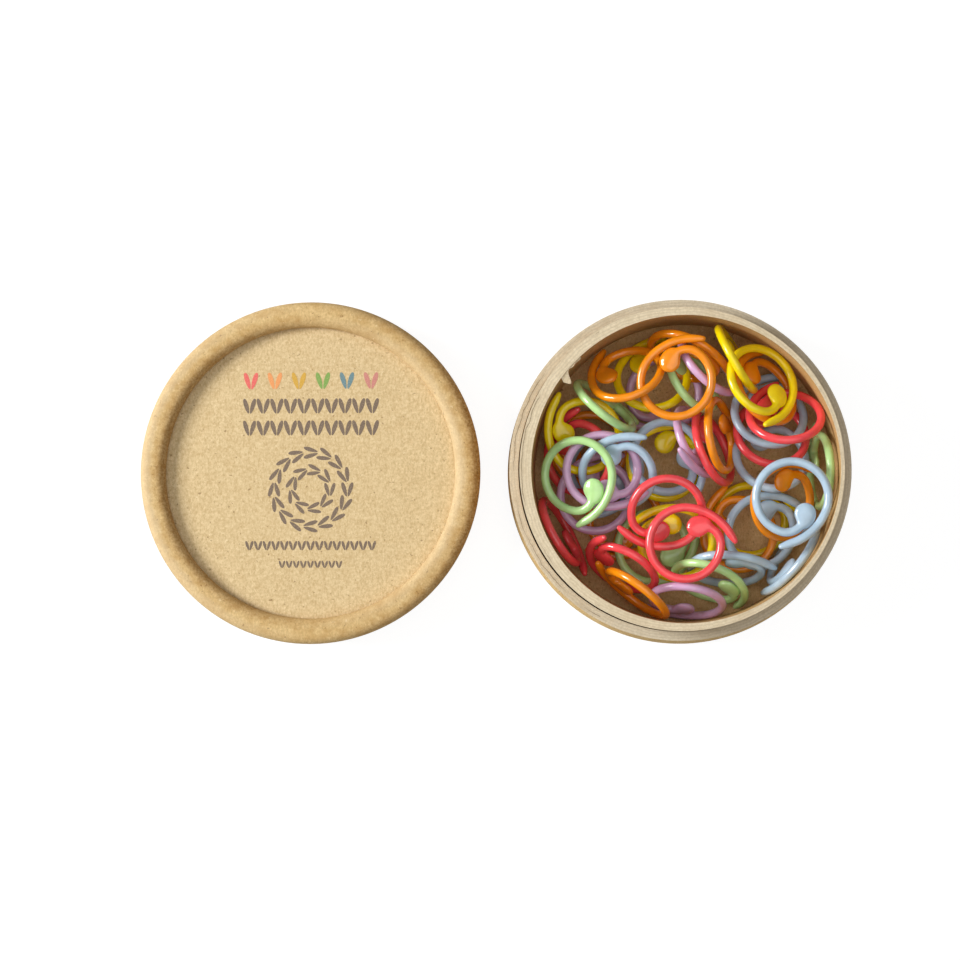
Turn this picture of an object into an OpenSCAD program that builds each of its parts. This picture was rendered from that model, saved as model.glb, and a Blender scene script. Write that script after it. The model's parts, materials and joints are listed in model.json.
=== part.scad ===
// A set of stitch markers in a round paper box with its lid off.
// Millimetres, Z up. The origin lies on the table, midway between the box and its lid.

/* [Box] */
// Outside diameter of the paper tube
tube_d = 60; // [58:0.5:66]
// Thickness of the tube wall
tube_wall = 1.6; // [1.2:0.1:2]
// Height of the box tube, without the neck
base_h = 15.7; // [14:0.1:24]
// Height of the lid
lid_h = 9; // [8.5:0.1:14]
// Width of the rolled end, across its bead
bead_w = 4.6; // [3.8:0.1:5]
// Height of the rolled end
bead_h = 3; // [2.8:0.1:3.6]
// How far the rolled end swells past the tube
bead_out = 1; // [0.4:0.1:1.4]
// Thickness of the end disc
disc_t = 1.2; // [0.8:0.1:1.6]
// How deep the end disc lies inside the rolled end
disc_inset = 2.5; // [1.8:0.1:2.6]
// Clear space between the box and the lid on the table
set_gap = 4.6; // [1:0.1:20]

/* [Neck] */
// Thickness of the neck wall, halfway between its thick and thin sides
neck_wall = 1.35; // [1.2:0.05:1.6]
// How far the neck stands above the tube
neck_up = 5; // [4:0.1:5.2]
// Clear space all round between the neck and the tube
neck_gap = 0.25; // [0.15:0.05:0.4]
// How far the neck is pushed over to one side
neck_push = 0.2; // [0:0.05:0.2]
// How much the neck wall is thicker on the side it was pushed from
neck_lap = 0.7; // [0:0.1:0.8]

/* [Marker] */
// Thickness of the coated wire
wire_d = 1.5; // [1.2:0.05:1.6]
// Outside diameter of the ring
ring_d = 14; // [12:0.1:14.5]
// Bend radius of the open tail
tail_bend = 9.5; // [8:0.1:10.5]
// Angle that the tail covers
tail_turn = 52; // [40:1:56]
// Length of the tapered tip
tip_len = 2.4; // [1.6:0.1:3]
// Thickness at the end of the tip
tip_d = 1; // [0.7:0.05:1.1]
// Bend radius of the curled inner end
curl_bend = 3.25; // [2.8:0.05:3.6]
// Angle that the curl covers
curl_turn = 110; // [90:1:130]
// Diameter of the flattened round end
pad_d = 3.8; // [3.2:0.1:4.4]
// Thickness of the flattened round end
pad_t = 1.35; // [0.9:0.05:1.45]

/* [Heap] */
// Least clear space kept between two markers
heap_gap = 0.11; // [0.1:0.01:0.3]
// Clear space under the neck's top edge
heap_below = 0.4; // [0.2:0.1:2]
// Clear space between the markers and the paper
heap_wall = 0.1; // [0.1:0.05:0.5]

/* [Hidden] */

tube_r = tube_d / 2;
tube_in_r = tube_r - tube_wall;
bead_r = tube_r + bead_out;
bead_in_r = bead_r - bead_w;
disc_fit = 0.05;
disc_r = tube_in_r - disc_fit;
floor_z = disc_inset + disc_t;
base_x = bead_r + set_gap / 2;
lid_x = -base_x;

neck_r = tube_in_r - neck_gap;
bore_r = neck_r - neck_wall;
neck_x = base_x + neck_push;
bore_x = neck_x + neck_lap;
neck_top = base_h + neck_up;

// The wire's centreline, in the marker's own plane
ring_r = (ring_d - wire_d) / 2;
tail_c = [0, ring_r - tail_bend];
tail_at = 90 - tail_turn;
curl_c = [ring_r - curl_bend, 0];
pad_c = curl_c + curl_bend * [cos(curl_turn), sin(curl_turn)];
pad_rim = (pad_d - pad_t) / 2;

// Colours of the coatings and the paper
red_coat = [0.98, 0.32, 0.34];
orange_coat = [0.95, 0.55, 0.04];
yellow_coat = [0.97, 0.85, 0.04];
green_coat = [0.73, 0.88, 0.59];
blue_coat = [0.71, 0.78, 0.83];
lavender_coat = [0.81, 0.65, 0.77];
kraft = [0.85, 0.72, 0.47];
kraft_inside = [0.71, 0.56, 0.36];
raw_board = [0.80, 0.72, 0.58];
card = [0.87, 0.76, 0.57];

// Marker solid

// One round bend of the wire about c, from angle a0 through the angle turn
module bend(c, r, a0, turn)
    translate([c[0], c[1], 0])
    rotate([0, 0, a0])
    rotate_extrude(angle = turn, $fn = 96)
    translate([r, 0])
    circle(d = wire_d, $fn = 24);

// The tapered end: a cone with a rounded nose, started a little inside the tail
module tip() {
    start = 0.3;
    nose = tip_d / 2;
    root = wire_d * 0.97 / 2;
    translate([tail_c[0], tail_c[1], 0])
    rotate([0, 0, tail_at])
    translate([tail_bend, start, 0])
    rotate([90, 0, 0])
    rotate_extrude($fn = 24)
    intersection() {
        square([wire_d, start + tip_len]);
        union() {
            polygon([
                [0, 0],
                [root, 0],
                [nose, start + tip_len - nose],
                [0, start + tip_len - nose]
            ]);
            translate([0, start + tip_len - nose])
            circle(r = nose, $fn = 24);
        }
    }
}

// The flattened round end of the wire
module pad()
    translate([pad_c[0], pad_c[1], 0])
    rotate_extrude($fn = 48) {
        translate([pad_rim, 0])
        circle(d = pad_t, $fn = 24);
        translate([0, -pad_t / 2])
        square([pad_rim, pad_t]);
    }

module marker() {
    tip();
    bend(tail_c, tail_bend, 90, -tail_turn);
    bend([0, 0], ring_r, 90, 270);
    bend(curl_c, curl_bend, 0, curl_turn);
    pad();
}

// How the markers lie in the box

// Each row is one marker as the heap shows it, in the order they fall in:
// x and y of the ring's centre from the middle of the neck, height above its lowest seat,
// lean of the ring, bearing of its high side, turn of the ring, and face up (1) or down (-1)
SEEN = [
    [-14, 0.5, 6, 8, 90, 250, 1],
    [15.5, 2.5, 0, 28, 250, 60, 1],
    [-22.5, -11, 0, 78, 208, 300, 1],
    [8.5, 7, 0, 64, 204, 0, 1],
    [-12, -7.5, 0, 6, 0, 200, 1],
    [24, 0, 0, 78, 0, 100, 1],
    [-19.5, 4, 1, 8, 90, 150, 1],
    [16, 6.5, 0, 28, 250, 60, 1],
    [15.5, 10, 0, 28, 250, 60, 1],
    [19.5, -15, 0, 76, -36, 220, 1],
    [3.5, 17.5, 0, 60, 212, 0, 1],
    [13.5, -10.5, 0, 8, 150, 0, 1],
    [5.5, 4, 0, 64, 204, 80, 1],
    [-5.5, -13.5, 4, 8, 180, 30, -1],
    [1.5, 16.5, 0, 60, 212, 90, 1],
    [-6.5, 18, 2, 30, -80, 80, 1],
    [8, -18, 0, 66, 82, 0, 1],
    [-19, -1, 0, 6, 0, 60, 1],
    [-2, -12, 6, 10, 90, 160, -1],
    [17.5, -5.5, 5, 34, 180, 40, 1],
    [-3.5, 1.5, 3, 12, 180, 30, 1],
    [-15, -3.5, 2, 12, 150, 30, 1],
    [15.5, 15, 1, 56, 206, 60, 1],
    [-3, 14.5, 2, 14, 90, 190, 1],
    [-3, 2.5, 5, 14, 180, 300, 1],
    [9, 21.5, 0, 62, 214, 20, 1],
    [14, -11.5, 3, 25, 150, 20, 1],
    [-12, 19.5, 4, 50, -68, 120, 1],
    [0.5, -23.5, 0, 66, 82, 200, 1],
    [-2, 21, 0, 60, 90, 0, 1],
    [-12.5, -18.5, 0, 62, 70, 100, 1],
    [-9.5, -23, 0, 62, 70, 150, 1],
    [1, 4.5, 0, 60, 204, 200, 1],
    [-17.5, 4.5, 6, 10, 160, 125, 1],
    [12, -12.5, 1, 10, 180, 90, 1],
    [-13, 2.5, 5, 10, 90, 60, 1],
    [-1.5, -5, 7, 10, 110, 200, 1],
    [5.5, -21, 0, 62, 82, 300, 1],
    [-0.5, -11.5, 11, 4, 0, 0, 1],
    [-17.5, -3, 10, 5, 0, 244, 1],
    [16, 18.5, 7.5, 35, 220, 260, 1],
    [-14.5, 0, 10.5, 0, 30, 340, -1],
    [21.5, 11.5, 4, 45, 270, 90, 1],
    [-1.5, 15.5, 12.5, 10, 350, 50, 1],
    [-14, 11.5, 2, 75, 230, 0, 1],
    [18.5, -5, 14.5, 0, 30, 250, 1]
];

// Bore radius and heap height of the box in which the rows were seen
seen = [26.8, 15.85];
// How many nudged places are tried for a marker, and how far they reach:
// x, y, height, lean and bearing
tries = 260;
reach = [7, 7, 7, 50, 60];
// Fractions that spread the tries evenly
spread = [0.755, 0.57, 0.819, 0.671, 0.55];
// Steps in which a marker sinks until it rests, and the further ones from above the heap
sink_step = 0.4;
sink_most = 10;
sink_far = 200;

heap_r = bore_r - heap_wall - wire_d / 2;
heap_top = neck_top - floor_z - heap_below - wire_d / 2;
heap_floor = heap_wall + wire_d / 2;
apart = wire_d + heap_gap;
heap_fit = bore_r / seen[0];
heap_rise = heap_top / seen[1];

// Points along the centreline, a little over a wire's half apart
point_step = 1.15;
function on_bend(c, r, a) = [c[0] + r * cos(a), c[1] + r * sin(a), 0];
function steps(r, turn) = ceil(PI * r * turn / 180 / point_step);
ring_n = steps(ring_r, 270);
tail_n = steps(tail_bend, tail_turn);
curl_n = steps(curl_bend, curl_turn);
function on_tip(s) =
    on_bend(tail_c, tail_bend, tail_at) + s * [sin(tail_at), -cos(tail_at), 0];
ring_points = [for (k = [0:ring_n]) on_bend([0, 0], ring_r, 90 + 270 * k / ring_n)];
end_points = concat(
    [on_tip(tip_len * 0.875), on_tip(tip_len * 0.5)],
    [for (k = [0:tail_n - 1]) on_bend(tail_c, tail_bend, tail_at + tail_turn * k / tail_n)],
    [for (k = [1:curl_n - 1]) on_bend(curl_c, curl_bend, curl_turn * k / curl_n)],
    [[pad_c[0], pad_c[1], 0]],
    [for (k = [0:5]) on_bend(pad_c, (pad_d - wire_d) / 2, 60 * k)]
);
marker_reach = 2 * norm(on_tip(tip_len)) + apart;
ends_mid = [for (i = [0:2]) min([for (p = end_points) p[i]]) / 2 + max([for (p = end_points) p[i]]) / 2];
ends_reach = max([for (p = end_points) norm(p - ends_mid)]) + apart;

function turn_z(a) = [[cos(a), -sin(a), 0], [sin(a), cos(a), 0], [0, 0, 1]];
function turn_y(a) = [[cos(a), 0, sin(a)], [0, 1, 0], [-sin(a), 0, cos(a)]];
function turned(lean, head, spin, face) =
    turn_z(head) * turn_y(-lean) * turn_z(spin) * [[1, 0, 0], [0, face, 0], [0, 0, face]];

// A pose is [place, turn matrix, ring points, end points, middle of the ends, angles]
function posed(place, m, angles) = [
    place,
    m,
    [for (p = ring_points) place + m * p],
    [for (p = end_points) place + m * p],
    place + m * ends_mid,
    angles
];

// The t-th nudge of a row: none at first, then wider
function nudge(t) = [
    for (i = [0:4]) reach[i] * pow(t / tries, 0.45) * (((t * spread[i] + 0.5) % 1) - 0.5)
];

// The farthest place from the middle, along u, at which the marker clears the wall
function wall_limit(points, u) = min([
    for (p = points)
        let (along = p[0] * u[0] + p[1] * u[1], off = p[0] * p[0] + p[1] * p[1])
        sqrt(max(heap_r * heap_r - off + along * along, 0)) - along
]);

function tried(row, t) =
    let (
        n = nudge(t),
        lean = min(max(row[3] + n[3], 0), 85),
        head = row[4] + n[4],
        spin = row[5] - row[4],
        m = turned(lean, head, spin, row[6]),
        points = [for (p = concat(ring_points, end_points)) m * p],
        seat = heap_floor - min([for (p = points) p[2]]),
        want = heap_fit * [row[0] + n[0], row[1] + n[1]],
        away = norm(want),
        u = away > 0 ? want / away : [1, 0],
        out = min(away, wall_limit(points, u))
    )
    posed([u[0] * out, u[1] * out, seat + heap_rise * max(row[2] + n[2], 0)], m, [lean, head, spin, row[6]]);

function highest(pose) = max([for (p = concat(pose[2], pose[3])) p[2]]);
function lowest(pose) = min([for (p = concat(pose[2], pose[3])) p[2]]);

// Do these points come too near the three-quarter ring of a pose?
function meets_ring(points, pose) = len([
    for (p = points)
        let (q = (p - pose[0]) * pose[1])
        if (abs(q[2]) < apart
            && norm([norm([q[0], q[1]]) - ring_r, q[2]]) < apart
            && min(q[0], q[1]) < 0.4) 1
]) > 0;

// Do the tail, curl and pad of two poses come too near each other?
function ends_meet(a, b) = len([
    for (p = a[3]) if (norm(p - b[4]) < ends_reach)
        for (q = b[3]) if (norm(p - q) < apart) 1
]) > 0;

function meets(a, b) =
    norm(a[0] - b[0]) < marker_reach
    && (meets_ring(a[2], b) || meets_ring(a[3], b) || meets_ring(b[3], a) || ends_meet(a, b));

function clears(pose, laid, k = 0) =
    k >= len(laid) ? true
    : meets(pose, laid[k]) ? false
    : clears(pose, laid, k + 1);

function lowered(pose, drop) =
    posed(pose[0] - [0, 0, drop], pose[1], pose[5]);

// Let a marker sink, step by step, until it rests on the floor or on another marker
function rested(pose, laid, k = 0) =
    k >= sink_most || lowest(pose) - sink_step < heap_floor - 0.000001 ? pose
    : let (next = lowered(pose, sink_step))
      clears(next, laid) ? rested(next, laid, k + 1) : pose;

// The first tried place that is clear, or the top of the heap when there is none
function settled(row, laid, t = 0) =
    t >= tries
    ? let (p = tried(row, 0), top = max([for (q = laid) highest(q)]))
      rested(lowered(p, lowest(p) - top - apart), laid, -sink_far)
    : let (p = tried(row, t))
      highest(p) <= heap_top && clears(p, laid) ? rested(p, laid)
      : settled(row, laid, t + 1);

function laid_up_to(last, k = 0, laid = []) =
    k > last ? laid
    : laid_up_to(last, k + 1, concat(laid, [settled(SEEN[k], laid)]));

heap = laid_up_to(len(SEEN) - 1);

module laid_marker(i) {
    place = heap[i][0];
    angles = heap[i][5];
    translate([bore_x + place[0], place[1], floor_z + place[2]])
    rotate([0, 0, angles[1]])
    rotate([0, -angles[0], 0])
    rotate([0, 0, angles[2]])
    rotate([angles[3] > 0 ? 0 : 180, 0, 0])
    marker();
}

// Paper box

// Half section of a tube with one rolled end, which lies at y = 0
module rolled_section(h) {
    bead_end = bead_h / 2;
    difference() {
        union() {
            translate([tube_in_r, bead_end])
            square([tube_wall, h - bead_end]);
            translate([bead_in_r + bead_end, 0])
            square([bead_w - bead_h, bead_h]);
            translate([bead_in_r + bead_end, bead_end])
            circle(d = bead_h, $fn = 48);
            translate([bead_r - bead_end, bead_end])
            circle(d = bead_h, $fn = 48);
            polygon([
                [tube_r - tube_wall / 2, bead_end],
                [bead_r - 0.02, bead_end + 0.2],
                [tube_r, bead_h + 2.2],
                [tube_r - tube_wall / 2, bead_h + 2.2]
            ]);
        }
        translate([0, disc_inset])
        square([tube_in_r, h]);
    }
}

module base_tube()
    color(kraft)
    translate([base_x, 0, 0])
    rotate_extrude($fn = 180)
    rolled_section(base_h);

module base_floor()
    color(kraft_inside)
    translate([base_x, 0, disc_inset])
    cylinder(r = disc_r, h = disc_t, $fn = 120);

module neck_sleeve()
    color(raw_board)
    difference() {
        translate([neck_x, 0, floor_z])
        cylinder(r = neck_r, h = neck_top - floor_z, $fn = 180);
        translate([bore_x, 0, floor_z - 1])
        cylinder(r = bore_r, h = neck_top - floor_z + 2, $fn = 180);
    }

module lid_tube()
    color(kraft)
    translate([lid_x, 0, lid_h])
    mirror([0, 0, 1])
    rotate_extrude($fn = 180)
    rolled_section(lid_h);

module lid_disc()
    color(card)
    translate([lid_x, 0, lid_h - disc_inset - disc_t])
    cylinder(r = disc_r, h = disc_t, $fn = 120);

// Markers, one solid each

module marker_blue_1()
    color(blue_coat) laid_marker(0);
module marker_blue_2()
    color(blue_coat) laid_marker(1);
module marker_red_1()
    color(red_coat) laid_marker(2);
module marker_orange_1()
    color(orange_coat) laid_marker(3);
module marker_orange_2()
    color(orange_coat) laid_marker(4);
module marker_green_1()
    color(green_coat) laid_marker(5);
module marker_orange_3()
    color(orange_coat) laid_marker(6);
module marker_red_2()
    color(red_coat) laid_marker(7);
module marker_blue_3()
    color(blue_coat) laid_marker(8);
module marker_blue_4()
    color(blue_coat) laid_marker(9);
module marker_lavender_1()
    color(lavender_coat) laid_marker(10);
module marker_yellow_1()
    color(yellow_coat) laid_marker(11);
module marker_red_3()
    color(red_coat) laid_marker(12);
module marker_green_2()
    color(green_coat) laid_marker(13);
module marker_green_3()
    color(green_coat) laid_marker(14);
module marker_yellow_2()
    color(yellow_coat) laid_marker(15);
module marker_blue_5()
    color(blue_coat) laid_marker(16);
module marker_red_4()
    color(red_coat) laid_marker(17);
module marker_yellow_3()
    color(yellow_coat) laid_marker(18);
module marker_orange_4()
    color(orange_coat) laid_marker(19);
module marker_yellow_4()
    color(yellow_coat) laid_marker(20);
module marker_lavender_2()
    color(lavender_coat) laid_marker(21);
module marker_orange_5()
    color(orange_coat) laid_marker(22);
module marker_lavender_3()
    color(lavender_coat) laid_marker(23);
module marker_blue_6()
    color(blue_coat) laid_marker(24);
module marker_yellow_5()
    color(yellow_coat) laid_marker(25);
module marker_blue_7()
    color(blue_coat) laid_marker(26);
module marker_orange_6()
    color(orange_coat) laid_marker(27);
module marker_lavender_4()
    color(lavender_coat) laid_marker(28);
module marker_orange_7()
    color(orange_coat) laid_marker(29);
module marker_red_5()
    color(red_coat) laid_marker(30);
module marker_orange_8()
    color(orange_coat) laid_marker(31);
module marker_lavender_5()
    color(lavender_coat) laid_marker(32);
module marker_yellow_6()
    color(yellow_coat) laid_marker(33);
module marker_orange_9()
    color(orange_coat) laid_marker(34);
module marker_blue_8()
    color(blue_coat) laid_marker(35);
module marker_red_6()
    color(red_coat) laid_marker(36);
module marker_green_4()
    color(green_coat) laid_marker(37);
module marker_red_7()
    color(red_coat) laid_marker(38);
module marker_green_5()
    color(green_coat) laid_marker(39);
module marker_yellow_7()
    color(yellow_coat) laid_marker(40);
module marker_lavender_6()
    color(lavender_coat) laid_marker(41);
module marker_red_8()
    color(red_coat) laid_marker(42);
module marker_orange_10()
    color(orange_coat) laid_marker(43);
module marker_green_6()
    color(green_coat) laid_marker(44);
module marker_blue_9()
    color(blue_coat) laid_marker(45);

base_tube();
base_floor();
neck_sleeve();
lid_tube();
lid_disc();
marker_blue_1();
marker_blue_2();
marker_red_1();
marker_orange_1();
marker_orange_2();
marker_green_1();
marker_orange_3();
marker_red_2();
marker_blue_3();
marker_blue_4();
marker_lavender_1();
marker_yellow_1();
marker_red_3();
marker_green_2();
marker_green_3();
marker_yellow_2();
marker_blue_5();
marker_red_4();
marker_yellow_3();
marker_orange_4();
marker_yellow_4();
marker_lavender_2();
marker_orange_5();
marker_lavender_3();
marker_blue_6();
marker_yellow_5();
marker_blue_7();
marker_orange_6();
marker_lavender_4();
marker_orange_7();
marker_red_5();
marker_orange_8();
marker_lavender_5();
marker_yellow_6();
marker_orange_9();
marker_blue_8();
marker_red_6();
marker_green_4();
marker_red_7();
marker_green_5();
marker_yellow_7();
marker_lavender_6();
marker_red_8();
marker_orange_10();
marker_green_6();
marker_blue_9();
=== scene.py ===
# %% [markdown]
# # Stitch markers in a round paper box
# The photograph looks down on a round kraft paper box with its lid lying beside it, top up.
# The box holds a heap of stitch markers: rings of coated wire that knitters hang on a stitch.
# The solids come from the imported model, in metres, and this lesson gives them their looks.
# It starts by loading that model. Its pieces already stand in the right place.

# %% Load the model
import bpy
import bmesh
import json
import math
import numpy as np
from mathutils import Matrix, Vector

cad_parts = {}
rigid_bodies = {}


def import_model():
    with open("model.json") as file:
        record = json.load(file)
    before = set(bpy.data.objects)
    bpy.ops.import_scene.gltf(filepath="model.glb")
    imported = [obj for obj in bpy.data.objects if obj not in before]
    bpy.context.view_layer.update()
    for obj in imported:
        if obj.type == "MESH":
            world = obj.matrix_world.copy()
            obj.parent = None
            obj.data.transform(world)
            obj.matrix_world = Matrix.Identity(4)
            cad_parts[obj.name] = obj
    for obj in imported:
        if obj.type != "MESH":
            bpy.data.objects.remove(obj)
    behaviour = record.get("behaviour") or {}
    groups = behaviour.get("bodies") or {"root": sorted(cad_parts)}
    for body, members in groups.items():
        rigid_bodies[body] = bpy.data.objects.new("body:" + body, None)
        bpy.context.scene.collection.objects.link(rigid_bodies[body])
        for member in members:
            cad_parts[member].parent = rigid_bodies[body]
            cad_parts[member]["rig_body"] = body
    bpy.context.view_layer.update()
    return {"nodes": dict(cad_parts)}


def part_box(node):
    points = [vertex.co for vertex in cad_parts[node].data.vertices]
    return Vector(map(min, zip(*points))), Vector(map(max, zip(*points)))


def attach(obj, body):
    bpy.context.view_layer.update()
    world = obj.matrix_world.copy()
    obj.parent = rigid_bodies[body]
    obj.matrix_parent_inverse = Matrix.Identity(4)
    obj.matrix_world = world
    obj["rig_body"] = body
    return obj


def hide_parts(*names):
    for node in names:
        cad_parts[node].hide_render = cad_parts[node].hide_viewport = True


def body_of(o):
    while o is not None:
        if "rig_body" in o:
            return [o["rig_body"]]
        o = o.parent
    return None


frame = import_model()
MM = 0.001
markers = sorted(name for name in frame["nodes"] if name.startswith("marker_"))
print("pieces:", len(frame["nodes"]), "markers:", len(markers))

# %% [markdown]
# ## Where the pieces lie
# Later steps need the middle of the box, the middle of the lid and a few heights. They are
# measured on the model's own pieces, so they stay right when a size changes.

# %% Measure the pieces
def middle(name):
    """The middle of a piece's box."""
    low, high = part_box(name)
    return (Vector(low) + Vector(high)) / 2


def top_of(name):
    """The highest point of a piece."""
    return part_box(name)[1][2]


box_at = middle("base_tube")
lid_at = middle("lid_tube")
neck_top = top_of("neck_sleeve")
tube_top = top_of("base_tube")
card_top = top_of("lid_disc")
print("box at", [round(v / MM, 1) for v in box_at], "neck top", round(neck_top / MM, 1))

# %% [markdown]
# ## A small kit for materials
# Each finish is a node tree. Writing out every node by hand is long, so a few helpers add a
# node, link it and set its inputs. The patterns read Object coordinates, which are the real
# metres of the model, so a pattern's scale is how often it repeats in a metre.

# %% Node helpers
# Where the colour mix node keeps its factor, its two colours and its result.
MIX_FACTOR, MIX_A, MIX_B = 0, 6, 7
MIX_RESULT = 2


class Finish:
    """A new material with its shader and its object coordinates at hand."""

    def __init__(self, name, colour, roughness):
        self.material = bpy.data.materials.new(name)
        self.material.use_nodes = True
        self.material.diffuse_color = (*colour, 1)
        self.tree = self.material.node_tree
        self.shader = self.tree.nodes["Principled BSDF"]
        self.shader.inputs["Base Color"].default_value = (*colour, 1)
        self.shader.inputs["Roughness"].default_value = roughness
        self.place = self.add("ShaderNodeTexCoord").outputs["Object"]

    def add(self, kind, **settings):
        """A new node with its settings."""
        node = self.tree.nodes.new(kind)
        for key, value in settings.items():
            setattr(node, key, value)
        return node

    def link(self, source, target):
        self.tree.links.new(source, target)

    def feed(self, value, target):
        """Gives an input its value: another node's output, a colour or a number."""
        if isinstance(value, bpy.types.NodeSocket):
            self.link(value, target)
        else:
            target.default_value = (*value, 1) if isinstance(value, tuple) else value

    def mapped(self, scale=(1, 1, 1), at=(0, 0, 0), turn=(0, 0, 0)):
        """Object coordinates for one pattern. Its own offset keeps it apart from the others."""
        node = self.add("ShaderNodeMapping")
        node.inputs["Scale"].default_value = scale
        node.inputs["Location"].default_value = at
        node.inputs["Rotation"].default_value = turn
        self.link(self.place, node.inputs["Vector"])
        return node.outputs["Vector"]

    def noise(self, vector, scale, detail=4.0, roughness=0.55, distortion=0.0):
        """Noise with a level around one half."""
        node = self.add("ShaderNodeTexNoise")
        node.inputs["Scale"].default_value = scale
        node.inputs["Detail"].default_value = detail
        node.inputs["Roughness"].default_value = roughness
        node.inputs["Distortion"].default_value = distortion
        self.link(vector, node.inputs["Vector"])
        return node.outputs["Fac"]

    def ramp(self, value, *stops):
        """A colour that passes through the stops, each a level and its colour."""
        node = self.add("ShaderNodeValToRGB")
        elements = node.color_ramp.elements
        while len(elements) < len(stops):
            elements.new(0.5)
        for element, (level, colour) in zip(elements, stops):
            element.position = level
            element.color = (*colour, 1)
        self.link(value, node.inputs["Fac"])
        return node.outputs["Color"]

    def grade(self, value, low, high, at_low=0.0, at_high=1.0):
        """A grey that goes from at_low to at_high while the value goes from low to high."""
        return self.ramp(value, (low, (at_low,) * 3), (high, (at_high,) * 3))

    def eased(self, value, low, high):
        """0 where the value is at low, 1 where it is at high, with soft ends."""
        node = self.add("ShaderNodeMapRange", interpolation_type="SMOOTHSTEP")
        node.inputs["From Min"].default_value = low
        node.inputs["From Max"].default_value = high
        self.link(value, node.inputs["Value"])
        return node.outputs["Result"]

    def mix(self, factor, a, b):
        """Colour a where the factor is 0, colour b where it is 1."""
        node = self.add("ShaderNodeMix", data_type="RGBA")
        self.link(factor, node.inputs[MIX_FACTOR])
        self.feed(a, node.inputs[MIX_A])
        self.feed(b, node.inputs[MIX_B])
        return node.outputs[MIX_RESULT]

    def maths(self, way, a, b=0.0, c=0.0):
        node = self.add("ShaderNodeMath", operation=way)
        for target, value in zip(node.inputs, (a, b, c)):
            self.feed(value, target)
        return node.outputs[0]

    def plus(self, a, b):
        return self.maths("ADD", a, b)

    def minus(self, a, b):
        return self.maths("SUBTRACT", a, b)

    def times(self, a, b):
        return self.maths("MULTIPLY", a, b)

    def around(self, centre):
        """How far right of an upright axis, how far away from it, and how high."""
        split = self.add("ShaderNodeSeparateXYZ")
        self.link(self.place, split.inputs[0])
        across = self.minus(split.outputs["X"], centre[0])
        along = self.minus(split.outputs["Y"], centre[1])
        squares = self.plus(self.times(across, across), self.times(along, along))
        return across, self.maths("SQRT", squares), split.outputs["Z"]

    def bump(self, height, strength, distance):
        node = self.add("ShaderNodeBump")
        node.inputs["Strength"].default_value = strength
        node.inputs["Distance"].default_value = distance
        self.link(height, node.inputs["Height"])
        self.link(node.outputs["Normal"], self.shader.inputs["Normal"])

    def colour(self, socket):
        self.link(socket, self.shader.inputs["Base Color"])

    def roughness(self, socket):
        self.link(socket, self.shader.inputs["Roughness"])


print("node helpers ready")

# %% [markdown]
# ## Kraft paper
# The tube, the rolled ends and the card are brown kraft paper. Seen close, it is a mat of fine
# fibres with small dark and pale specks, a slow change of tone, and almost no gloss. The fibres
# are noise squeezed in one direction, and the specks are the rare peaks of a finer noise.

# %% Kraft paper finish
# A picture's colours follow a curve that is straight for its darkest levels.
TOE_LEVEL, TOE_DIVISOR = 10, 3295
# How often each pattern of the paper repeats in a metre.
FIBRE_SCALE, CROSS_SCALE, SLOW_SCALE, PATCH_SCALE, SPECK_SCALE = 3300, 1900, 70, 520, 1500
# How much red, green and blue fall in a dark fibre and rise in a pale one.
FIBRE_FALL = (0.20, 0.25, 0.34)
FIBRE_RISE = (0.14, 0.16, 0.22)
PAPER_ROUGHNESS = 0.82
PAPER_GLOSS = 0.25
FIBRE_HEIGHT = 0.06 * MM


def sheet_colour(red, green, blue):
    """A colour as a picture shows it, 0 to 255, in the linear values that the shader wants."""
    return tuple(
        ((level / 255 + 0.055) / 1.055) ** 2.4 if level > TOE_LEVEL else level / TOE_DIVISOR
        for level in (red, green, blue)
    )


def shade(tone, *parts):
    """A colour with its red, green and blue each scaled, for stains and dark fibres."""
    parts = parts * 3 if len(parts) == 1 else parts
    return tuple(min(v * part, 1) for v, part in zip(tone, parts))


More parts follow.
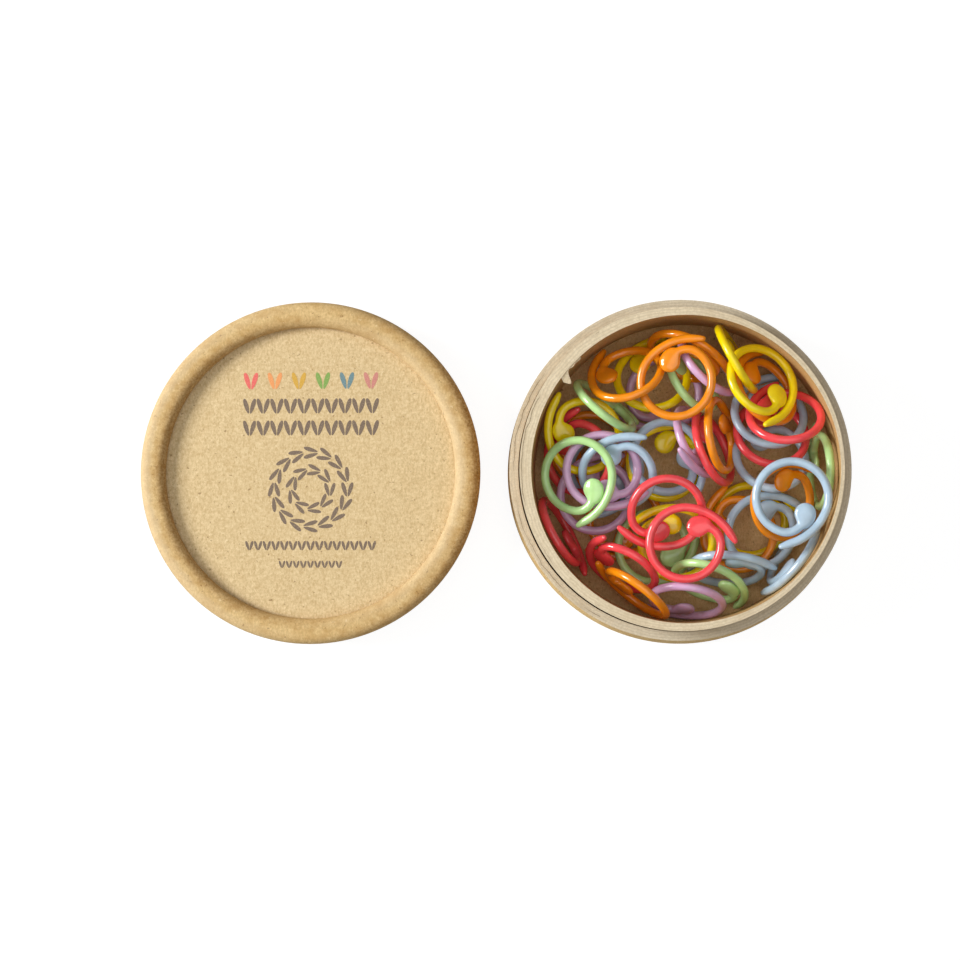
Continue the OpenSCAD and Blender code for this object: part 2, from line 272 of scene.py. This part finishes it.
def paper(name, tone, pale, dark, fibre_turn=(0, 0, 0), contrast=1.0, rubbed=0.0):
    """Fibrous paper: tone is its colour, pale and dark are its specks, rubbed its brown smears."""
    f = Finish(name, tone, PAPER_ROUGHNESS)
    squeezed = f.mapped((1, 0.55, 1), turn=fibre_turn)
    crosswise = f.mapped((0.4, 1, 0.4), at=(3, 1, 2), turn=fibre_turn)
    fibre = f.noise(squeezed, FIBRE_SCALE, roughness=0.7, distortion=0.3)
    cross = f.noise(crosswise, CROSS_SCALE, roughness=0.7)
    slow = f.noise(f.mapped(at=(0.3, 0.7, 0.1)), SLOW_SCALE, detail=3.0, roughness=0.6)
    patch = f.noise(f.mapped(at=(4, 9, 1)), PATCH_SCALE, roughness=0.62)
    speck = f.noise(f.mapped(at=(7, 5, 3)), SPECK_SCALE, detail=2.0, roughness=0.5)
    low = shade(tone, *(1 - fall * contrast for fall in FIBRE_FALL))
    high = shade(tone, *(1 + rise * contrast for rise in FIBRE_RISE))
    base = f.ramp(fibre, (0.34, low), (0.50, tone), (0.66, high))
    base = f.mix(f.grade(cross, 0.46, 0.66, at_high=0.5), base, low)
    base = f.mix(f.times(slow, 0.14), base, shade(tone, 0.86))
    base = f.mix(f.grade(patch, 0.44, 0.68, at_high=rubbed), base, shade(tone, 0.72, 0.60, 0.42))
    is_dark = f.grade(speck, 0.26, 0.32, at_low=1.0, at_high=0.0)
    is_pale = f.grade(speck, 0.69, 0.76)
    base = f.mix(f.times(is_dark, 0.62), base, dark)
    base = f.mix(f.times(is_pale, 0.45), base, pale)
    f.bump(f.plus(f.times(fibre, 0.6), f.times(cross, 0.4)), 0.5, FIBRE_HEIGHT)
    f.roughness(f.grade(fibre, 0.3, 0.8, at_low=0.74, at_high=0.9))
    f.shader.inputs["Specular IOR Level"].default_value = PAPER_GLOSS
    f.paper_colour = base
    f.colour(base)
    return f


KRAFT = sheet_colour(219, 188, 132)
CARD = sheet_colour(218, 193, 147)
LINING = sheet_colour(206, 168, 112)
FLOOR_PAPER = sheet_colour(216, 182, 130)
BOARD_GREY = sheet_colour(217, 205, 180)
BOARD_PALE = sheet_colour(231, 214, 182)
FIBRE_PALE = sheet_colour(246, 226, 184)
FIBRE_DARK = sheet_colour(128, 92, 50)
LINING_PALE = sheet_colour(214, 176, 118)
LINING_DARK = sheet_colour(104, 72, 38)
print("kraft", [round(v, 3) for v in KRAFT])

# %% [markdown]
# ## Cut edges and the lid's roll
# Where a paper tube is cut, its end shows the raw board: greyish, rough, and made of plies that
# were wound round each other. The same piece has smooth paper on its side and raw board on its
# end, so one material tells them apart by height: only about the last tenth of a millimetre is
# cut. The plies are rings about the tube's axis, with noise to make them wander. The lid's other
# end is rolled, not cut, and the photograph shows its edges a little browned. It is browner on the
# sides turned from the key light and paler on those turned to it. That part is painted here, as
# painted shade in brown and a painted highlight in pale cream.

# %% Cut edge finish
PLY = 0.52 * MM
PLY_WANDER = 1.1 * MM
CUT_DEPTH = 0.12 * MM
CUT_RAGGED = 0.4 * MM
# A crack between plies: how far outside their middle it runs, how far it strays, half its
# width, and how far left of the axis it starts to show.
CRACK_OUT = 0.1 * MM
CRACK_STRAY = 1.0 * MM
CRACK_HALF = 0.09 * MM
CRACK_LEFT = -14 * MM
CRACK_COLOUR = sheet_colour(96, 72, 48)
TUBE_PLIES_R = 29.2 * MM
NECK_PLIES_R = 27.5 * MM
ROLL_INNER_R = 26.6 * MM
ROLL_OUTER_R = 30.9 * MM
ROLL_STRAY = 2.2 * MM
# The roll's painted highlight, and its brown: real browning that is also used as painted shade.
ROLL_PAINTED_HIGHLIGHT = sheet_colour(216, 197, 165)
ROLL_BROWNING_AND_SHADE = sheet_colour(138, 96, 44)


def cut_edge(f, centre, radius, cut_at, board, below=False, cracked=False):
    """Mixes raw plies into paper where the tube ends, at the height cut_at."""
    across, away, height = f.around(centre)
    wander = f.noise(f.mapped(at=(1, 4, 2)), 260, roughness=0.65)
    fuzz = f.noise(f.mapped(at=(5, 2, 8)), 2100, detail=5.0, roughness=0.75)
    clump = f.noise(f.mapped(at=(8, 1, 4)), 700, detail=3.0, roughness=0.6)
    worn = f.noise(f.mapped(at=(2, 2, 6)), 110, detail=3.0, roughness=0.6)
    rings = f.plus(f.minus(away, radius), f.times(wander, PLY_WANDER))
    wave = f.maths("SINE", f.times(rings, 2 * math.pi / PLY))
    plies = f.plus(f.times(wave, 0.5), 0.5)
    raw = f.ramp(plies, (0.0, shade(board, 0.88)), (0.5, board), (1.0, shade(board, 1.05)))
    raw = f.mix(f.grade(fuzz, 0.40, 0.64, at_high=0.55), raw, shade(board, 0.66, 0.62, 0.56))
    raw = f.mix(f.grade(clump, 0.42, 0.72, at_high=0.30), raw, shade(board, 0.76, 0.72, 0.64))
    raw = f.mix(f.grade(worn, 0.50, 0.74, at_high=0.34), raw, shade(board, 0.60, 0.52, 0.42))
    if cracked:
        stray = f.times(f.minus(wander, 0.5), CRACK_STRAY)
        off = f.maths("ABSOLUTE", f.plus(f.minus(away, radius + CRACK_OUT), stray))
        gaping = f.noise(f.mapped(at=(1, 1, 5)), 45, detail=2.0, roughness=0.5)
        open_here = f.grade(gaping, 0.44, 0.52, at_high=0.6)
        on_left = f.maths("LESS_THAN", across, CRACK_LEFT)
        crack = f.times(f.maths("LESS_THAN", off, CRACK_HALF), f.times(open_here, on_left))
        raw = f.mix(crack, raw, CRACK_COLOUR)
    depth = f.minus(height, cut_at)
    if below:
        depth = f.times(depth, -1.0)
    ragged = f.times(f.minus(fuzz, 0.5), CUT_RAGGED)
    is_cut = f.maths("GREATER_THAN", f.plus(depth, ragged), -CUT_DEPTH)
    f.colour(f.mix(is_cut, f.paper_colour, raw))


def roll_browning_and_painted_light(f, centre, inner, outer):
    """Browns a roll's edges a little, adds painted shade browner inside towards the left and
    outside towards the right, and a painted highlight pale outside on the left and inside on the
    right.
    """
    across, away, _ = f.around(centre)
    side = f.maths("DIVIDE", across, away)
    right = f.maths("MAXIMUM", side, 0.0)
    left = f.maths("MAXIMUM", f.times(side, -1.0), 0.0)
    wander = f.noise(f.mapped(at=(6, 6, 2)), 380, roughness=0.65)
    away = f.plus(away, f.times(f.minus(wander, 0.5), ROLL_STRAY))
    grain = f.noise(f.mapped(at=(9, 2, 5)), 2300, detail=3.0, roughness=0.7)
    # Brown inside the roll: some real browning, deepened towards the left by painted shade and
    # taken away on the right.
    inside = f.eased(away, inner + 2.7 * MM, inner + 0.2 * MM)
    inside = f.times(inside, f.maths("MULTIPLY_ADD", left, 0.50, 0.33))
    inside = f.times(inside, f.minus(1.0, right))
    # Brown outside the roll: a little real browning, deepened towards the right by painted shade.
    outside = f.eased(away, outer - 3.0 * MM, outer)
    outside = f.times(outside, f.maths("MULTIPLY_ADD", right, 0.86, 0.12))
    # The brown holds both the real browning and the painted shade.
    brown = f.maths("MAXIMUM", inside, outside)
    brown = f.times(brown, f.grade(grain, 0.38, 0.62, at_low=0.55))
    # Painted highlight: pale outside the roll on the left and inside it on the right, where the
    # key light falls.
    painted_highlight_out = f.times(f.eased(away, outer - 2.6 * MM, outer - 1.2 * MM), left)
    painted_highlight_in = f.times(f.eased(away, inner + 2.6 * MM, inner + 0.8 * MM), right)
    pale = f.times(f.plus(painted_highlight_out, painted_highlight_in), 0.42)
    f.paper_colour = f.mix(pale, f.paper_colour, ROLL_PAINTED_HIGHLIGHT)
    f.paper_colour = f.mix(brown, f.paper_colour, ROLL_BROWNING_AND_SHADE)
    f.colour(f.paper_colour)


base_paper = paper(
    "kraft_paper_tube", KRAFT, FIBRE_PALE, FIBRE_DARK, fibre_turn=(0, 0, 0.4), rubbed=0.5
)
cut_edge(base_paper, box_at, TUBE_PLIES_R, tube_top, BOARD_GREY, cracked=True)
lid_paper = paper(
    "kraft_paper_lid", KRAFT, FIBRE_PALE, FIBRE_DARK, fibre_turn=(0, 0, 0.1), contrast=1.15,
    rubbed=0.65,
)
roll_browning_and_painted_light(lid_paper, lid_at, ROLL_INNER_R, ROLL_OUTER_R)
cut_edge(lid_paper, lid_at, TUBE_PLIES_R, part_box("lid_tube")[0][2], BOARD_GREY, below=True)
lining_paper = paper(
    "kraft_paper_neck", LINING, LINING_PALE, LINING_DARK, fibre_turn=(0, 0, 0.9)
)
cut_edge(lining_paper, box_at, NECK_PLIES_R, neck_top, BOARD_PALE, cracked=True)
floor_paper = paper("kraft_paper_floor", FLOOR_PAPER, FIBRE_PALE, FIBRE_DARK, rubbed=0.3)
card_paper = paper("kraft_card", CARD, FIBRE_PALE, FIBRE_DARK, contrast=1.15, rubbed=0.12)
print("paper finishes:", [m.name for m in bpy.data.materials if "kraft" in m.name])

# %% [markdown]
# ## Coated wire
# Each marker is steel wire dipped in glossy colour. The coat is thick enough to round every
# edge, and it dries with slow waves, so highlights bend a little. Its colour is even, with a
# trace of thin and thick places. A clear top layer gives the sharp, wet highlight.

# %% Coating finish
COATS = {
    "red": sheet_colour(254, 78, 84),
    "orange": sheet_colour(252, 148, 10),
    "yellow": sheet_colour(255, 226, 2),
    "green": sheet_colour(192, 234, 156),
    "blue": sheet_colour(184, 208, 226),
    "lavender": sheet_colour(220, 176, 212),
}
COAT_ROUGHNESS = 0.18
COAT_LAYERS = {
    "Coat Weight": 0.6,
    "Coat Roughness": 0.04,
    "Subsurface Weight": 0.12,
    "Subsurface Radius": (0.8 * MM, 0.6 * MM, 0.5 * MM),
    "Subsurface Scale": 1.0,
}
WAVE_SCALE, STREAK_SCALE = 420, 2600
WAVE_HEIGHT = 0.12 * MM


def coating(name, tone):
    """Glossy enamel of one colour."""
    f = Finish("coat_" + name, tone, COAT_ROUGHNESS)
    wave = f.noise(f.mapped(), WAVE_SCALE, detail=2.0, roughness=0.5)
    streak = f.noise(f.mapped(at=(4, 4, 4)), STREAK_SCALE, detail=3.0, roughness=0.5)
    thin = tuple(min(v * 1.15 + 0.01, 1) for v in tone)
    base = f.ramp(wave, (0.30, shade(tone, 0.84)), (0.62, tone))
    f.colour(f.mix(f.times(streak, 0.10), base, thin))
    f.roughness(f.grade(streak, 0.3, 0.8, at_low=0.14, at_high=0.24))
    f.bump(wave, 0.18, WAVE_HEIGHT)
    for key, value in COAT_LAYERS.items():
        f.shader.inputs[key].default_value = value
    return f.material


coats = {name: coating(name, tone) for name, tone in COATS.items()}
print("coats:", list(coats))

# %% [markdown]
# ## Dress the model's own pieces
# A solid whose shape is right already keeps it and only gets its finish.

# %% Give the pieces their finishes
PAPERS = {
    "base_tube": base_paper,
    "lid_tube": lid_paper,
    "neck_sleeve": lining_paper,
    "base_floor": floor_paper,
    "lid_disc": card_paper,
}
for name, finish in PAPERS.items():
    piece = frame["nodes"][name]
    piece.data.materials.clear()
    piece.data.materials.append(finish.material)
print("dressed", len(PAPERS), "pieces")

# %% [markdown]
# ## One marker, drawn as poured enamel
# The solid of a marker is a plain round wire with a flat round pad set on its end. On the real
# one the coat has run together: the wire swells into the pad like a comma, and the pad is domed.
# So one marker is drawn anew. A circle is set at each station along the wire, wider than it is
# thick where the pad grows, and neighbouring circles are bridged into one smooth skin.

# %% Sizes of one marker
WIRE_R = 0.75 * MM
TIP_R = 0.5 * MM
TIP_LONG = 2.4 * MM
RING_R = 6.25 * MM
RING_FROM, RING_TURN = 90, 270
TAIL_R = 9.5 * MM
TAIL_TURN = 52
CURL_R = 3.25 * MM
CURL_TURN = 110
PAD_R = 1.88 * MM
PAD_THICK_R = 0.72 * MM
PAD_DOME = 0.55
# The wire starts to swell at this many pad radii before the pad's centre, and blends into the
# pad by this power until this share of a radius is left.
SWELL = 1.35
SWELL_POWER = 5
SWELL_END = 0.25
# Stations: degrees over the tip's nose and over the pad's end, and steps for the rest.
NOSE_DEGREES = (8, 30, 55, 90)
PAD_DEGREES = (12, 24, 36, 48, 60, 71, 80, 86)
TAPER_STEPS, TAIL_STEPS, RING_STEPS, CURL_STEPS = 5, 16, 64, 24
WIRE_SIDES = 20


def bend_station(centre, radius, degrees):
    """Place and outward direction on a round bend of the wire."""
    a = math.radians(degrees)
    out = Vector((math.cos(a), math.sin(a), 0))
    return Vector((*centre, 0)) + radius * out, out


def swollen_width(before):
    """Half the wire's width, at a distance before the pad's centre."""
    round_part = PAD_R * math.sqrt(max(1 - (before / (SWELL * PAD_R)) ** 2, 0))
    if before > SWELL_END * PAD_R:
        return (WIRE_R ** SWELL_POWER + round_part ** SWELL_POWER) ** (1 / SWELL_POWER)
    return max(round_part, WIRE_R)


def stations():
    """Every station as place, outward direction, half width and half thickness."""
    tail_at = (0, RING_R - TAIL_R)
    tail_start, out = bend_station(tail_at, TAIL_R, RING_FROM - TAIL_TURN)
    ahead = Vector((-out.y, out.x, 0))
    found = []
    for degrees in NOSE_DEGREES:
        a = math.radians(degrees)
        nose = TIP_R * math.sin(a)
        back = TIP_LONG - TIP_R + TIP_R * math.cos(a)
        found.append((tail_start - ahead * back, out, nose, nose))
    for k in range(1, TAPER_STEPS):
        part = k / TAPER_STEPS
        radius = TIP_R + (WIRE_R - TIP_R) * math.sin(part * math.pi / 2)
        found.append((tail_start - ahead * (TIP_LONG - TIP_R) * (1 - part), out, radius, radius))
    for k in range(TAIL_STEPS):
        degrees = RING_FROM - TAIL_TURN * (1 - k / TAIL_STEPS)
        found.append((*bend_station(tail_at, TAIL_R, degrees), WIRE_R, WIRE_R))
    for k in range(RING_STEPS):
        degrees = RING_FROM + RING_TURN * k / RING_STEPS
        found.append((*bend_station((0, 0), RING_R, degrees), WIRE_R, WIRE_R))
    curl_at = (RING_R - CURL_R, 0)
    for k in range(CURL_STEPS + 1):
        width = swollen_width(CURL_R * math.radians(CURL_TURN * (1 - k / CURL_STEPS)))
        grown = (width - WIRE_R) / (PAD_R - WIRE_R)
        thick = WIRE_R + (PAD_THICK_R - WIRE_R) * grown
        degrees = CURL_TURN * k / CURL_STEPS
        found.append((*bend_station(curl_at, CURL_R, degrees), width, thick))
    end, out = bend_station(curl_at, CURL_R, CURL_TURN)
    ahead = Vector((-out.y, out.x, 0))
    for degrees in PAD_DEGREES:
        a = math.radians(degrees)
        place = end + ahead * PAD_R * math.sin(a)
        found.append((place, out, PAD_R * math.cos(a), PAD_THICK_R * math.cos(a) ** PAD_DOME))
    return found


print("stations:", len(stations()))

# %% Skin one marker
def skin_marker():
    """One marker round its own ring's middle, lying flat."""
    mesh = bmesh.new()
    last = None
    for place, out, width, thick in stations():
        way = Vector((0, 0, 1)).cross(out)
        seat = Matrix((out * width, Vector((0, 0, thick)), way)).transposed().to_4x4()
        seat.translation = place
        made = bmesh.ops.create_circle(
            mesh, cap_ends=False, segments=WIRE_SIDES, radius=1.0, matrix=seat
        )
        edges = list({e for v in made["verts"] for e in v.link_edges})
        if last:
            bmesh.ops.bridge_loops(mesh, edges=last + edges)
        last = edges
    bmesh.ops.holes_fill(mesh, edges=mesh.edges, sides=0)
    bmesh.ops.recalc_face_normals(mesh, faces=mesh.faces)
    for face in mesh.faces:
        face.smooth = True
    data = bpy.data.meshes.new("marker_form")
    mesh.to_mesh(data)
    mesh.free()
    return data


marker_form = skin_marker()
print("one marker:", len(marker_form.polygons), "faces")

# %% [markdown]
# ## Lay the drawn markers where the solids lie
# Every marker has the same shape, so its place and turn can be read from its solid. The area's
# balance point and main axes are found for the solid and for the drawn form. Laying one set on
# the other carries the drawn form into place. The axes are pointed to the heavier side, which
# tells one end from the other and face up from face down.

# %% Find balance and axes
def balance(data):
    """The balance point and main axes of a mesh's area, as one matrix."""
    data.calc_loop_triangles()
    co = np.array([v.co[:] for v in data.vertices])
    corners = np.array([t.vertices[:] for t in data.loop_triangles])
    a, b, c = (co[corners[:, k]] for k in range(3))
    area = np.linalg.norm(np.cross(b - a, c - a), axis=1) / 2
    balance_point = (area[:, None] * (a + b + c) / 3).sum(0) / area.sum()
    a, b, c = a - balance_point, b - balance_point, c - balance_point
    spread = sum(np.einsum("t,ti,tj->ij", area, p, p) for p in (a, b, c, a + b + c))
    axes = np.linalg.eigh(spread)[1]
    long_way, wide_way = (
        e if (area * ((a + b + c) @ e) ** 3).sum() > 0 else -e for e in (axes[:, 2], axes[:, 1])
    )
    rows = np.stack([long_way, wide_way, np.cross(long_way, wide_way)], 1)
    turn = Matrix(rows.tolist()).to_4x4()
    turn.translation = balance_point
    return turn


form_balance = balance(marker_form)
form_offset = [round(v / MM, 3) for v in form_balance.translation]
print("the form balances", form_offset, "from the ring's middle")

# %% Lay the markers
for name in markers:
    solid = frame["nodes"][name]
    data = marker_form.copy()
    data.transform(balance(solid.data) @ form_balance.inverted())
    tone = name.split("_")[1]
    data.materials.append(coats[tone])
    piece = bpy.data.objects.new("enamel_" + name.removeprefix("marker_"), data)
    bpy.context.scene.collection.objects.link(piece)
    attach(piece, body_of(solid)[0])
    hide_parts(name)
print("markers laid:", len(markers))

# %% [markdown]
# ## A torn flap on the neck
# At the upper left, a thin ply of the neck has torn loose and leans into the box. It starts as a
# narrow strip along the inner edge and ends in a small tongue. A flat grid is laid along the
# edge, its free side is drawn inwards to a ragged outline, and it droops towards its tip.

# %% Tear a flap
FLAP_FROM, FLAP_TO = 133, 143.5
FLAP_THICK = 0.22 * MM
# How far it reaches in, in millimetres: its strip, the waves on that, and its tongue. The
# tongue's middle and width are shares of the flap's length.
STRIP_REACH, WAVE_REACH, TONGUE_REACH = 0.30, 0.10, 1.75
TONGUE_AT, TONGUE_WIDE = 0.86, 0.13
WAVES = 19
# The neck was pushed over to one side, so its bore isn't in the middle of the box.
BORE_PUSH = 0.9 * MM
BORE_R = 26.8 * MM
EDGE_GRIP = 0.05 * MM
bore_at = Vector((box_at.x + BORE_PUSH, box_at.y, 0))


def flap_reach(u):
    """How far the flap leans in, from its thin start to its tongue."""
    tongue = math.exp(-((u - TONGUE_AT) / TONGUE_WIDE) ** 2)
    return (STRIP_REACH + WAVE_REACH * math.sin(WAVES * u) + TONGUE_REACH * tongue) * MM


flap = bmesh.new()
bmesh.ops.create_grid(flap, x_segments=26, y_segments=6, size=0.5)
for v in flap.verts:
    u, inward = v.co.x + 0.5, v.co.y + 0.5
    reach = flap_reach(u) * inward
    lean = 0.10 * inward * math.exp(-((u - 0.9) / 0.2) ** 2)
    a = math.radians(FLAP_FROM + (FLAP_TO - FLAP_FROM) * (u + lean))
    out = BORE_R + EDGE_GRIP - reach
    droop = 0.06 * MM + 0.16 * reach + 0.10 * MM * math.sin(7 * u + 2 * inward) * inward
    height = neck_top - droop - FLAP_THICK / 2
    v.co = bore_at + Vector((out * math.cos(a), out * math.sin(a), height))
bmesh.ops.recalc_face_normals(flap, faces=flap.faces)
bmesh.ops.solidify(flap, geom=flap.faces[:], thickness=FLAP_THICK)
bmesh.ops.recalc_face_normals(flap, faces=flap.faces)
flap_mesh = bpy.data.meshes.new("torn_flap")
flap.to_mesh(flap_mesh)
flap.free()
flap_piece = bpy.data.objects.new("torn_flap", flap_mesh)
bpy.context.scene.collection.objects.link(flap_piece)
torn = paper("torn_ply", sheet_colour(232, 214, 180), FIBRE_PALE, FIBRE_DARK, rubbed=0.2)
flap_mesh.materials.append(torn.material)
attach(flap_piece, body_of(frame["nodes"]["neck_sleeve"])[0])
print("flap faces:", len(flap_mesh.polygons))

# %% [markdown]
# ## The print on the lid
# The lid's card carries a print in muted ink: small coloured marks above, then bands and a round
# motif in brown. This print is a plain knitting pattern: every mark is the V of a knit stitch,
# two slanted drops that meet below. One drop is a circle pulled long, filled and given the
# thickness of ink. Rows and wreaths of that one stitch make the whole design.

# %% Print the lid
INK = sheet_colour(122, 104, 88)
MARK_COLOURS = [
    (232, 108, 100), (238, 158, 96), (214, 168, 66),
    (132, 168, 84), (110, 140, 146), (206, 136, 124),
]
INK_ROUGHNESS = 0.75
INK_THICK = 0.02 * MM
INK_LIFT = 0.005 * MM
DROP_SIDES = 14
# Shares of a stitch's height: how far its drops stand out and how wide they are. Then their
# slant in radians and how much wider than its middle a drop grows.
DROP_OUT, DROP_WIDE, DROP_SLANT, DROP_SWELL = 0.20, 0.27, 0.30, 0.5
# In millimetres from the lid's middle. A row is its place, stitch height, pitch and count, and
# a wreath is its radius, count and stitch height.
UPPER_ROWS = ((12.2, 2.9, 2.5, 10), (8.2, 2.9, 2.5, 10))
LOWER_ROWS = ((-13.2, 1.8, 1.6, 15), (-16.6, 1.4, 1.3, 9))
WREATHS = ((6.7, 16, 2.7), (3.5, 9, 2.5))
WREATH_DOWN = 3.0
MARK_PITCH, MARK_UP, MARK_HIGH = 4.4, 16.8, 3.2


def add_drop(mesh, at, length, width, turn):
    """One slanted drop of a stitch, flat on the card."""
    made = bmesh.ops.create_circle(mesh, cap_ends=True, segments=DROP_SIDES, radius=0.5)
    verts = made["verts"]
    bmesh.ops.scale(mesh, verts=verts, vec=(width, length, 1))
    for v in verts:
        v.co.x *= 1.0 + DROP_SWELL * v.co.y / length
    bmesh.ops.rotate(mesh, verts=verts, cent=(0, 0, 0), matrix=Matrix.Rotation(turn, 3, "Z"))
    bmesh.ops.translate(mesh, verts=verts, vec=at)
    faces = {f for v in verts for f in v.link_faces}
    grown = bmesh.ops.extrude_face_region(mesh, geom=list(faces))
    raised = [part for part in grown["geom"] if isinstance(part, bmesh.types.BMVert)]
    bmesh.ops.translate(mesh, verts=raised, vec=(0, 0, INK_THICK))


def add_stitch(mesh, x, y, size, turn=0.0):
    """One V stitch of a given height, turned about its middle."""
    for side in (-1, 1):
        at = Vector((side * size * DROP_OUT, 0, 0))
        at.rotate(Matrix.Rotation(turn, 3, "Z"))
        slant = turn - side * DROP_SLANT
        add_drop(mesh, (x + at.x, y + at.y, 0), size, size * DROP_WIDE, slant)


def add_rows(mesh, rows):
    """Rows of upright stitches, each centred on the lid."""
    for y, size, pitch, count in rows:
        for i in range(count):
            add_stitch(mesh, (i - (count - 1) / 2) * (pitch * MM), y * MM, size * MM)


def ink(name, tone):
    """Thin ink that lets some of the card through."""
    f = Finish("ink_" + name, tone, INK_ROUGHNESS)
    worn = f.noise(f.mapped(at=(2, 6, 1)), 5200, detail=3.0, roughness=0.65)
    through = tuple(v * 0.55 + c * 0.45 for v, c in zip(tone, CARD))
    f.colour(f.ramp(worn, (0.30, shade(tone, 0.82)), (0.55, tone), (0.72, through)))
    f.bump(worn, 0.4, 0.04 * MM)
    return f.material


def finish_print(mesh, name, material):
    """Lays the marks on the card and makes them ride on the lid."""
    bmesh.ops.recalc_face_normals(mesh, faces=mesh.faces)
    bmesh.ops.translate(mesh, verts=mesh.verts, vec=(lid_at.x, lid_at.y, card_top + INK_LIFT))
    data = bpy.data.meshes.new(name)
    mesh.to_mesh(data)
    mesh.free()
    piece = bpy.data.objects.new(name, data)
    bpy.context.scene.collection.objects.link(piece)
    data.materials.append(material)
    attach(piece, "lid")


brown_print = bmesh.new()
add_rows(brown_print, UPPER_ROWS)
for radius, count, size in WREATHS:
    for i in range(count):
        a = 2 * math.pi * i / count
        x, y = radius * MM * math.cos(a), (radius * math.sin(a) - WREATH_DOWN) * MM
        add_stitch(brown_print, x, y, size * MM, a)
add_rows(brown_print, LOWER_ROWS)
finish_print(brown_print, "lid_print_brown", ink("brown", INK))
for i, tone in enumerate(MARK_COLOURS):
    mark = bmesh.new()
    across = (i - (len(MARK_COLOURS) - 1) / 2) * MARK_PITCH * MM
    add_stitch(mark, across, MARK_UP * MM, MARK_HIGH * MM)
    finish_print(mark, "lid_print_%d" % (i + 1), ink(str(i + 1), sheet_colour(*tone)))
print("print pieces:", 1 + len(MARK_COLOURS))

# %% [markdown]
# ## Floor, light and camera
# The photograph is shot straight down on pure white. A white floor that is lit to full white
# would throw too much light back, so the floor adds a white glow that only the camera and its
# reflected or refracted rays see, and keeps a plain grey for everything else. The key light is
# a soft box on the left, low enough to shade the right side of each rim. A pale surround fills
# the shadows.

# %% Floor
FLOOR_REACH = 0.9
FLOOR_GREY = (0.62, 0.62, 0.62, 1)
FLOOR_FAINT = (0.20, 0.20, 0.20, 1)
FLOOR_GLOW = 0.90


def any_of(tree, *values):
    """1 where any of the values is 1."""
    highest = values[0]
    for value in values[1:]:
        node = tree.nodes.new("ShaderNodeMath")
        node.operation = "MAXIMUM"
        tree.links.new(highest, node.inputs[0])
        tree.links.new(value, node.inputs[1])
        highest = node.outputs[0]
    return highest


def add_shader(tree, kind, key, value):
    """A shader with one of its inputs set."""
    node = tree.nodes.new(kind)
    node.inputs[key].default_value = value
    return node.outputs[0]


table = bmesh.new()
bmesh.ops.create_grid(table, x_segments=1, y_segments=1, size=FLOOR_REACH)
floor_mesh = bpy.data.meshes.new("table")
table.to_mesh(floor_mesh)
table.free()
floor = bpy.data.objects.new("table", floor_mesh)
bpy.context.scene.collection.objects.link(floor)

floor_look = bpy.data.materials.new("white_table")
floor_look.use_nodes = True
tree = floor_look.node_tree
tree.nodes.clear()
rays = tree.nodes.new("ShaderNodeLightPath").outputs
seen = any_of(tree, rays["Is Camera Ray"], rays["Is Glossy Ray"], rays["Is Transmission Ray"])
plain = add_shader(tree, "ShaderNodeBsdfDiffuse", "Color", FLOOR_GREY)
faint = add_shader(tree, "ShaderNodeBsdfDiffuse", "Color", FLOOR_FAINT)
glow = add_shader(tree, "ShaderNodeEmission", "Strength", FLOOR_GLOW)
both = tree.nodes.new("ShaderNodeAddShader")
tree.links.new(faint, both.inputs[0])
tree.links.new(glow, both.inputs[1])
choose = tree.nodes.new("ShaderNodeMixShader")
tree.links.new(seen, choose.inputs["Fac"])
tree.links.new(plain, choose.inputs[1])
tree.links.new(both.outputs[0], choose.inputs[2])
out = tree.nodes.new("ShaderNodeOutputMaterial")
tree.links.new(choose.outputs[0], out.inputs["Surface"])
floor_mesh.materials.append(floor_look)
print("table laid")

# %% Light
# How bright the surround is as a light, and where the camera looks at it.
ROOM_LIGHT, ROOM_SEEN = 0.26, 1.0


def soft_box(name, at, look_at, size, power):
    """A rectangular lamp that points at a place."""
    lamp = bpy.data.lights.new(name, "AREA")
    lamp.shape = "RECTANGLE"
    lamp.size, lamp.size_y = size
    lamp.energy = power
    holder = bpy.data.objects.new(name, lamp)
    holder.location = at
    holder.rotation_euler = (Vector(look_at) - Vector(at)).to_track_quat("-Z", "Y").to_euler()
    bpy.context.scene.collection.objects.link(holder)


soft_box("key_left", at=(-0.56, 0.10, 0.36), look_at=(0, 0, 0.01), size=(0.26, 0.26), power=4.85)
soft_box("fill_top", at=(0.1, -0.1, 0.8), look_at=(0, 0, 0.0), size=(0.8, 0.8), power=2.1)
world = bpy.data.worlds.new("white_room")
bpy.context.scene.world = world
world.use_nodes = True
room = world.node_tree
back = room.nodes["Background"]
back.inputs["Color"].default_value = (1, 1, 1, 1)
rays = room.nodes.new("ShaderNodeLightPath").outputs
level = room.nodes.new("ShaderNodeMapRange")
level.inputs["To Min"].default_value = ROOM_LIGHT
level.inputs["To Max"].default_value = ROOM_SEEN
seen = any_of(room, rays["Is Camera Ray"], rays["Is Transmission Ray"])
room.links.new(seen, level.inputs["Value"])
room.links.new(level.outputs["Result"], back.inputs["Strength"])

# %% Camera
# Fitted to the rims in the photograph, which is square and this many pixels wide.
CAMERA_AT = Vector((24.2, -16.5, 415.1)) * MM
LOOK_AT = Vector((-1.53, -1.88, 20.7)) * MM
PICTURE_PIXELS, FOCAL_PIXELS = 960, 2266
SENSOR_MM = 36
NEAREST = 0.01
lens = bpy.data.cameras.new("camera")
lens.sensor_width = SENSOR_MM
lens.lens = SENSOR_MM * FOCAL_PIXELS / PICTURE_PIXELS
lens.clip_start = NEAREST
camera = bpy.data.objects.new("camera", lens)
forward = (LOOK_AT - CAMERA_AT).normalized()
right = forward.cross(Vector((0, 1, 0))).normalized()
turn = Matrix((right, right.cross(forward), -forward)).transposed()
camera.matrix_world = Matrix.Translation(CAMERA_AT) @ turn.to_4x4()
bpy.context.scene.collection.objects.link(camera)
bpy.context.scene.camera = camera
bpy.context.scene.view_settings.view_transform = "Standard"
print("camera", round(lens.lens, 1), "mm")
